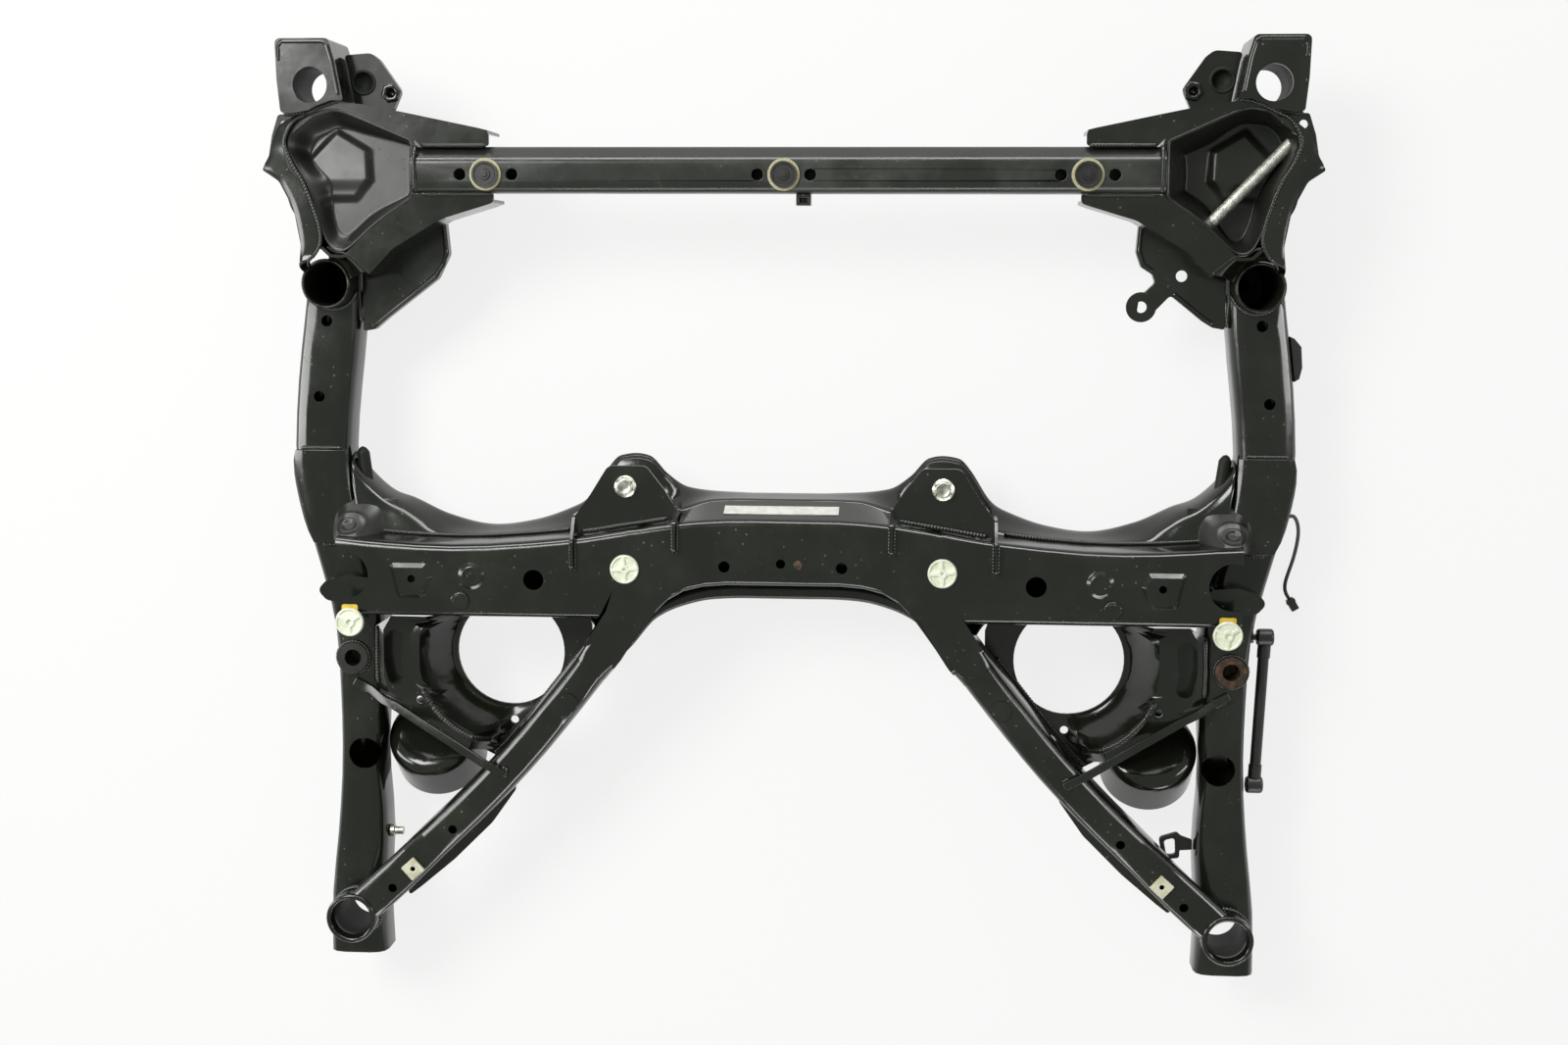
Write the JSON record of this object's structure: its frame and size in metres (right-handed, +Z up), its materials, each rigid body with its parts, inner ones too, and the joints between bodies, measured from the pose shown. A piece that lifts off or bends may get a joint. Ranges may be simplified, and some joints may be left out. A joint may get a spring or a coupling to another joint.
{
  "type": "axle subframe",
  "caption": "Welded black steel front axle subframe with pressed crossmember, formed side members, mounting sleeves and a level sensor link.",
  "frame": {"origin": "centre of the bounding box in plan, at the floor the part lies on", "axes": "+X across the vehicle to the right of the picture, +Y towards the front tube, +Z up towards the viewer"},
  "size_m": [1.0237, 0.917, 0.1636],
  "materials": {
    "black_coat": "glossy dip coat",
    "zinc_steel": "zinc plated, dull",
    "dark_steel": "oiled",
    "rusty_steel": "bare, lightly rusted",
    "black_plastic": "moulded, satin",
    "grey_plastic": "moulded, satin",
    "yellow_plastic": "moulded, matt",
    "cream_plastic": "moulded, matt",
    "cream_foam": "soft foam, matt",
    "white_label": "printed film, blank",
    "black_rubber": "matt sheath"
  },
  "bodies": {
    "frame": {"front_tube": "black_coat", "tube_hook": "black_coat", "stud_discs": "black_plastic", "foam_rings": "cream_foam", "corner_left": "black_coat", "corner_right": "black_coat", "ear_left": "black_coat", "ear_right": "black_coat", "ear_sleeve_left": "black_coat", "ear_sleeve_right": "black_coat", "ear_plate_left": "black_coat", "ear_plate_right": "black_coat", "skirt_left": "black_coat", "skirt_right": "black_coat", "front_sleeve_left": "black_coat", "front_sleeve_right": "black_coat", "rail_left": "black_coat", "rail_right": "black_coat", "saddle_left": "black_coat", "saddle_right": "black_coat", "crossmember_cover": "black_coat", "crossmember_tray": "black_coat", "gear_bracket_left": "black_coat", "gear_bracket_right": "black_coat", "gear_bolts": "zinc_steel", "gear_nuts": "zinc_steel", "arm_nose_left": "black_coat", "arm_nose_right": "black_coat", "leg_left": "black_coat", "leg_right": "black_coat", "gusset_left": "black_coat", "gusset_right": "black_coat", "cup_left": "black_coat", "cup_right": "black_coat", "cup_bracket_left": "black_coat", "cup_bracket_right": "black_coat", "brace_left": "black_coat", "brace_right": "black_coat", "rear_sleeve_left": "black_coat", "rear_sleeve_right": "black_coat", "socket_left": "rusty_steel", "socket_right": "rusty_steel", "face_clips": "grey_plastic", "corner_clips": "grey_plastic", "clip_tags": "yellow_plastic", "square_nuts": "cream_plastic", "strut_bolt": "zinc_steel", "strut_nut": "zinc_steel", "ball_stud": "dark_steel", "sensor_housing": "black_plastic", "cable_clip": "black_plastic", "earth_stud": "zinc_steel", "label": "white_label", "cable": "black_rubber", "cable_plug": "black_plastic"},
    "link": {"sensor_link": "black_plastic"}
  },
  "joints": [
    {"name": "link_swing", "type": "hinge", "parent": "frame", "child": "link", "pos_m": [0.475, -0.118, 0.073], "axis": [1, 0, 0], "range_deg": [-25, 20]}
  ]
}
